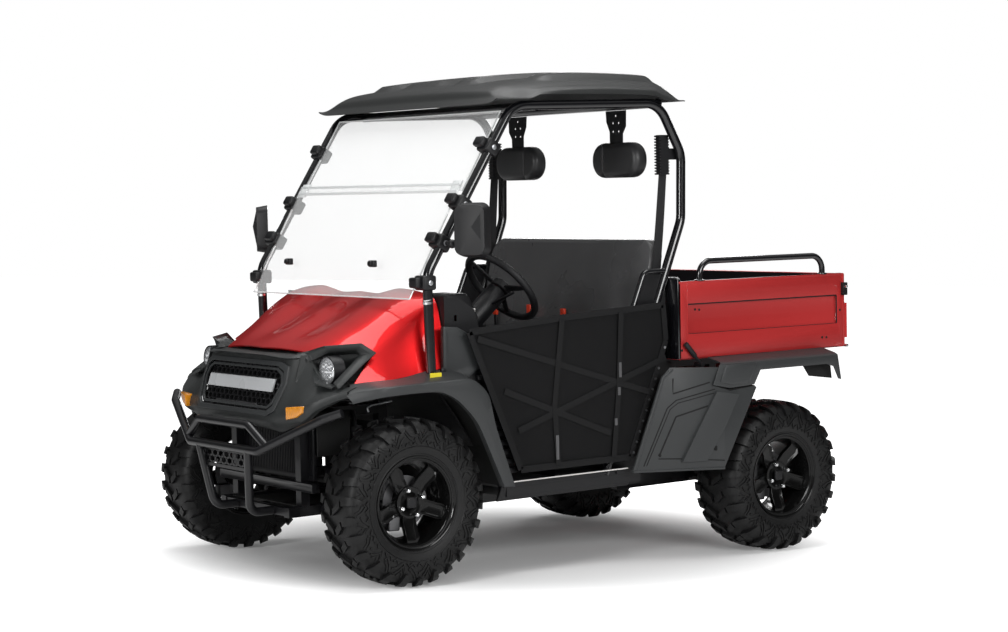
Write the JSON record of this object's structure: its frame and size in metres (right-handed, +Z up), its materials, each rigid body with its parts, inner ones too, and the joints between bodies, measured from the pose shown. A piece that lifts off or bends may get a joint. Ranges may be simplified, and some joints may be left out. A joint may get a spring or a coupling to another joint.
{
  "type": "side by side utility vehicle",
  "caption": "A utility side by side with a bench seat in an open roll cage under a roof, a split clear windscreen, net doors, a front guard and a tipping cargo bed",
  "frame": {"origin": "on the ground, on the middle plane, midway between the axles, which is also the middle of the base of the bounding box", "axes": "X points forward, Y to the vehicle's left, Z up"},
  "size_m": [2.7238, 1.6824, 1.9916],
  "materials": {
    "frame_steel": "satin",
    "guard_steel": "satin",
    "cage_steel": "gloss",
    "black_plastic": "textured",
    "dark_plastic": "textured",
    "grey_plastic": "fine grain",
    "roof_plastic": "textured",
    "gloss_black": "gloss",
    "red_panel": "gloss",
    "red_steel": "gloss",
    "lamp_lens": "clear",
    "amber_lens": "clear",
    "red_lens": "clear",
    "clear_sheet": "clear",
    "grip_rubber": "matt",
    "seat_vinyl": "satin",
    "net_fabric": "woven",
    "belt_fabric": "woven",
    "engine_metal": "cast",
    "exhaust_metal": "brushed",
    "spring_steel": "satin",
    "knuckle_metal": "cast",
    "tyre_rubber": "matt",
    "rim_black": "gloss"
  },
  "bodies": {
    "chassis": {"main_frame": "frame_steel", "front_frame": "frame_steel", "rear_frame": "frame_steel", "floor_pan": "black_plastic", "front_guard": "guard_steel", "front_fascia": "grey_plastic", "grille": "gloss_black", "headlamps": "lamp_lens", "turn_lamps": "amber_lens", "hood": "red_panel", "front_fender_left": "grey_plastic", "front_fender_right": "grey_plastic", "dashboard": "dark_plastic", "steering_column": "black_plastic", "pedals": "frame_steel", "seat_base": "black_plastic", "seat_cushion": "seat_vinyl", "seat_back": "seat_vinyl", "headrests": "seat_vinyl", "headrest_brackets": "frame_steel", "roll_cage": "cage_steel", "roof": "roof_plastic", "windscreen_upper": "clear_sheet", "windscreen_lower": "clear_sheet", "windscreen_clamps": "black_plastic", "mirrors": "black_plastic", "door_nets": "net_fabric", "rear_panel_left": "grey_plastic", "rear_panel_right": "grey_plastic", "engine": "engine_metal", "exhaust": "exhaust_metal", "seat_belts": "belt_fabric", "receiver": "frame_steel", "steering_rack": "engine_metal", "front_arms": "frame_steel", "rear_arms": "frame_steel", "shocks": "spring_steel", "final_drive": "engine_metal"},
    "steering_wheel": {"steering_wheel": "grip_rubber"},
    "rack": {"tie_rods": "frame_steel"},
    "knuckle_left": {"knuckle_left": "knuckle_metal"},
    "knuckle_right": {"knuckle_right": "knuckle_metal"},
    "bed": {"bed": "red_steel", "bed_rails": "cage_steel", "tail_lamps": "red_lens", "rear_flare_left": "grey_plastic", "rear_flare_right": "grey_plastic"},
    "tailgate": {"tailgate": "red_steel"},
    "wheel_front_left": {"tyre_front_left": "tyre_rubber", "rim_front_left": "rim_black"},
    "wheel_front_right": {"tyre_front_right": "tyre_rubber", "rim_front_right": "rim_black"},
    "wheel_rear_left": {"tyre_rear_left": "tyre_rubber", "rim_rear_left": "rim_black"},
    "wheel_rear_right": {"tyre_rear_right": "tyre_rubber", "rim_rear_right": "rim_black"}
  },
  "joints": [
    {"name": "steer_left", "type": "hinge", "parent": "chassis", "child": "knuckle_left", "pos_m": [0.9265, 0.5155, 0.315], "axis": [0, 0, 1], "range_deg": [-25, 25]},
    {"name": "steer_right", "type": "hinge", "parent": "chassis", "child": "knuckle_right", "pos_m": [0.9265, -0.5155, 0.315], "axis": [0, 0, 1], "range_deg": [-25, 25]},
    {"name": "steering_wheel_turn", "type": "hinge", "parent": "chassis", "child": "steering_wheel", "pos_m": [0.2616, 0.33, 1.10586], "axis": [-0.741, 0, 0.6715], "range_deg": [-252, 252]},
    {"name": "rack_slide", "type": "slide", "parent": "chassis", "child": "rack", "axis": [0, 1, 0], "range_m": [-0.052, 0.052]},
    {"name": "spin_front_left", "type": "hinge", "parent": "knuckle_left", "child": "wheel_front_left", "pos_m": [0.9265, 0.6175, 0.315], "axis": [0, 1, 0], "continuous": true},
    {"name": "spin_front_right", "type": "hinge", "parent": "knuckle_right", "child": "wheel_front_right", "pos_m": [0.9265, -0.6175, 0.315], "axis": [0, 1, 0], "continuous": true},
    {"name": "spin_rear_left", "type": "hinge", "parent": "chassis", "child": "wheel_rear_left", "pos_m": [-0.9265, 0.627, 0.315], "axis": [0, 1, 0], "continuous": true},
    {"name": "spin_rear_right", "type": "hinge", "parent": "chassis", "child": "wheel_rear_right", "pos_m": [-0.9265, -0.627, 0.315], "axis": [0, 1, 0], "continuous": true},
    {"name": "bed_tilt", "type": "hinge", "parent": "chassis", "child": "bed", "pos_m": [-1.21708, 0, 0.82691], "axis": [0, -1, 0], "range_deg": [0, 45]},
    {"name": "tailgate_drop", "type": "hinge", "parent": "bed", "child": "tailgate", "pos_m": [-1.32582, 0, 0.86207], "axis": [0, -1, 0], "range_deg": [0, 90]}
  ],
  "couplings": [
    {"joint": "steer_right", "follows": "steer_left", "ratio": 1},
    {"joint": "steering_wheel_turn", "follows": "steer_left", "ratio": 10},
    {"joint": "rack_slide", "follows": "steer_left", "m_per_rad": -0.115}
  ]
}
